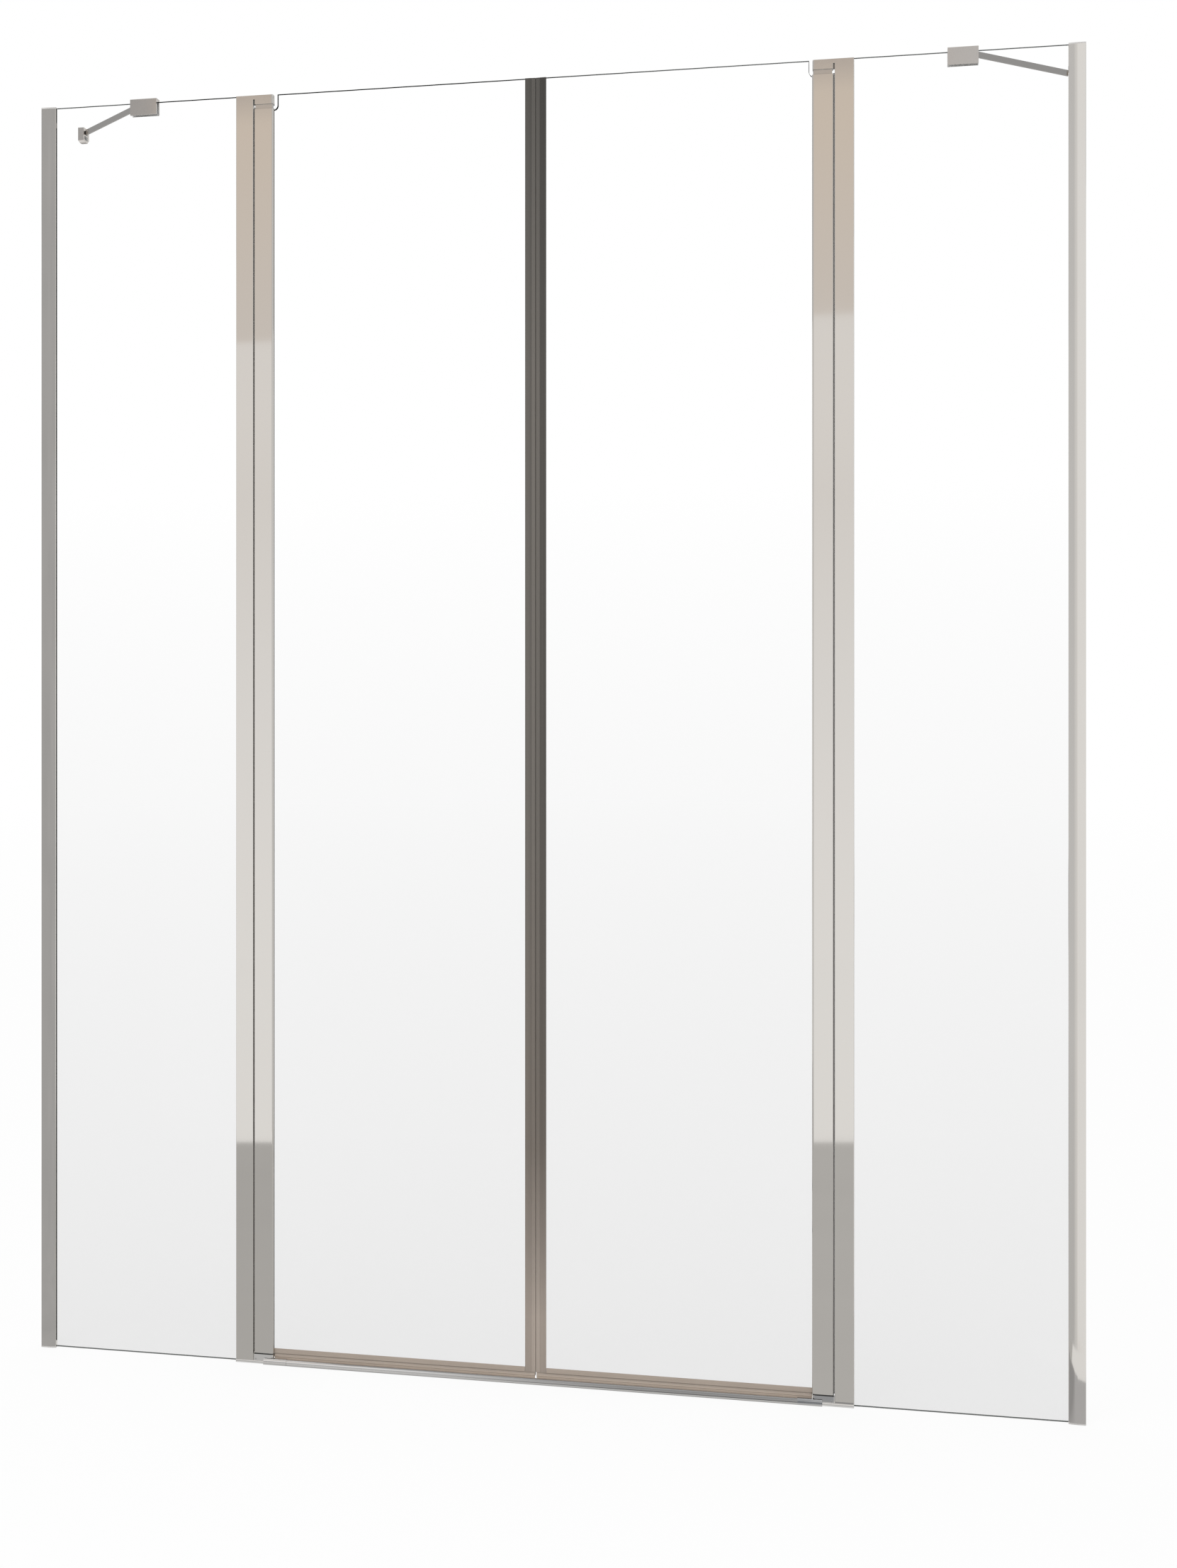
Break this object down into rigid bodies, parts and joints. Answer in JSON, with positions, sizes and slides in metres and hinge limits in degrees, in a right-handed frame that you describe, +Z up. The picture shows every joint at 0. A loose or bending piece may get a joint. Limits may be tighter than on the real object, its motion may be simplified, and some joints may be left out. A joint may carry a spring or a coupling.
{
  "type": "shower door",
  "caption": "Niche shower screen with hinged double doors that meet at a magnetic seal between fixed side panes, with bright profiles, short wall stays and a low threshold.",
  "frame": {"origin": "on the floor under the threshold strip, at mid-width, in the middle of the glass thickness", "axes": "+X to the right for someone outside the shower, +Y into the shower, +Z up"},
  "size_m": [1.6284, 0.1491, 2.008],
  "materials": {
    "wall_profile_metal": "polished, anodised",
    "post_metal": "polished, anodised",
    "door_profile_metal": "polished, anodised",
    "hinge_metal": "bright chrome",
    "neck_metal": "bright chrome",
    "foot_metal": "bright chrome",
    "stay_metal": "bright chrome",
    "threshold_metal": "polished, anodised",
    "channel_aluminium": "mill finish",
    "pin_steel": "ground",
    "screw_steel": "bright stainless",
    "clear_glass": "clear toughened, polished edges",
    "gasket_rubber": "soft grey",
    "seal_vinyl": "translucent soft vinyl",
    "bottom_seal_vinyl": "translucent soft vinyl",
    "magnetic_seal_vinyl": "translucent grey vinyl",
    "magnet_rubber": "magnetic rubber",
    "bearing_plastic": "natural acetal",
    "cap_plastic": "moulded",
    "pad_plastic": "clear soft plastic",
    "threshold_cap_plastic": "chrome plated"
  },
  "bodies": {
    "frame": {"left_wall_channel": "channel_aluminium", "right_wall_channel": "channel_aluminium", "left_wall_profile": "wall_profile_metal", "right_wall_profile": "wall_profile_metal", "left_wall_gasket": "gasket_rubber", "right_wall_gasket": "gasket_rubber", "left_fixed_glass": "clear_glass", "right_fixed_glass": "clear_glass", "left_hinge_post": "post_metal", "right_hinge_post": "post_metal", "left_post_gasket": "gasket_rubber", "right_post_gasket": "gasket_rubber", "left_base_plate": "foot_metal", "right_base_plate": "foot_metal", "left_foot_block": "foot_metal", "right_foot_block": "foot_metal", "left_hinge_head": "hinge_metal", "right_hinge_head": "hinge_metal", "left_upper_bush": "bearing_plastic", "right_upper_bush": "bearing_plastic", "left_lower_pin": "pin_steel", "right_lower_pin": "pin_steel", "left_fixed_cam": "bearing_plastic", "right_fixed_cam": "bearing_plastic", "left_stay_clamp": "stay_metal", "right_stay_clamp": "stay_metal", "left_stay_bar": "stay_metal", "right_stay_bar": "stay_metal", "left_stay_bracket": "stay_metal", "right_stay_bracket": "stay_metal", "wall_profile_caps": "cap_plastic", "lock_screws": "screw_steel", "foot_screws": "screw_steel", "head_screws": "screw_steel", "clamp_pads": "pad_plastic", "clamp_screws": "screw_steel", "stay_pins": "pin_steel", "stay_screws": "screw_steel", "threshold_strip": "threshold_metal", "threshold_end_caps": "threshold_cap_plastic"},
    "left_pivot": {"left_spindle": "pin_steel", "left_neck": "neck_metal"},
    "left_door": {"left_door_profile": "door_profile_metal", "left_lip_seal": "seal_vinyl", "left_door_gasket": "gasket_rubber", "left_cam_follower": "bearing_plastic", "left_door_glass": "clear_glass", "left_bottom_seal": "bottom_seal_vinyl", "left_magnetic_seal": "magnetic_seal_vinyl", "left_magnet_strip": "magnet_rubber"},
    "right_pivot": {"right_spindle": "pin_steel", "right_neck": "neck_metal"},
    "right_door": {"right_door_profile": "door_profile_metal", "right_lip_seal": "seal_vinyl", "right_door_gasket": "gasket_rubber", "right_cam_follower": "bearing_plastic", "right_door_glass": "clear_glass", "right_bottom_seal": "bottom_seal_vinyl", "right_magnetic_seal": "magnetic_seal_vinyl", "right_magnet_strip": "magnet_rubber"}
  },
  "joints": [
    {"name": "left_door_swing", "type": "hinge", "parent": "frame", "child": "left_pivot", "pos_m": [-0.4364, -0.002, 0], "axis": [0, 0, -1], "range_deg": [0, 90]},
    {"name": "left_door_lift", "type": "slide", "parent": "left_pivot", "child": "left_door", "axis": [0, 0, 1], "range_m": [0, 0.006]},
    {"name": "right_door_swing", "type": "hinge", "parent": "frame", "child": "right_pivot", "pos_m": [0.4364, -0.002, 0], "axis": [0, 0, 1], "range_deg": [0, 90]},
    {"name": "right_door_lift", "type": "slide", "parent": "right_pivot", "child": "right_door", "axis": [0, 0, 1], "range_m": [0, 0.006]}
  ],
  "couplings": [
    {"joint": "left_door_lift", "follows": "left_door_swing", "m_per_rad": 0.0038197},
    {"joint": "right_door_lift", "follows": "right_door_swing", "m_per_rad": 0.0038197}
  ]
}
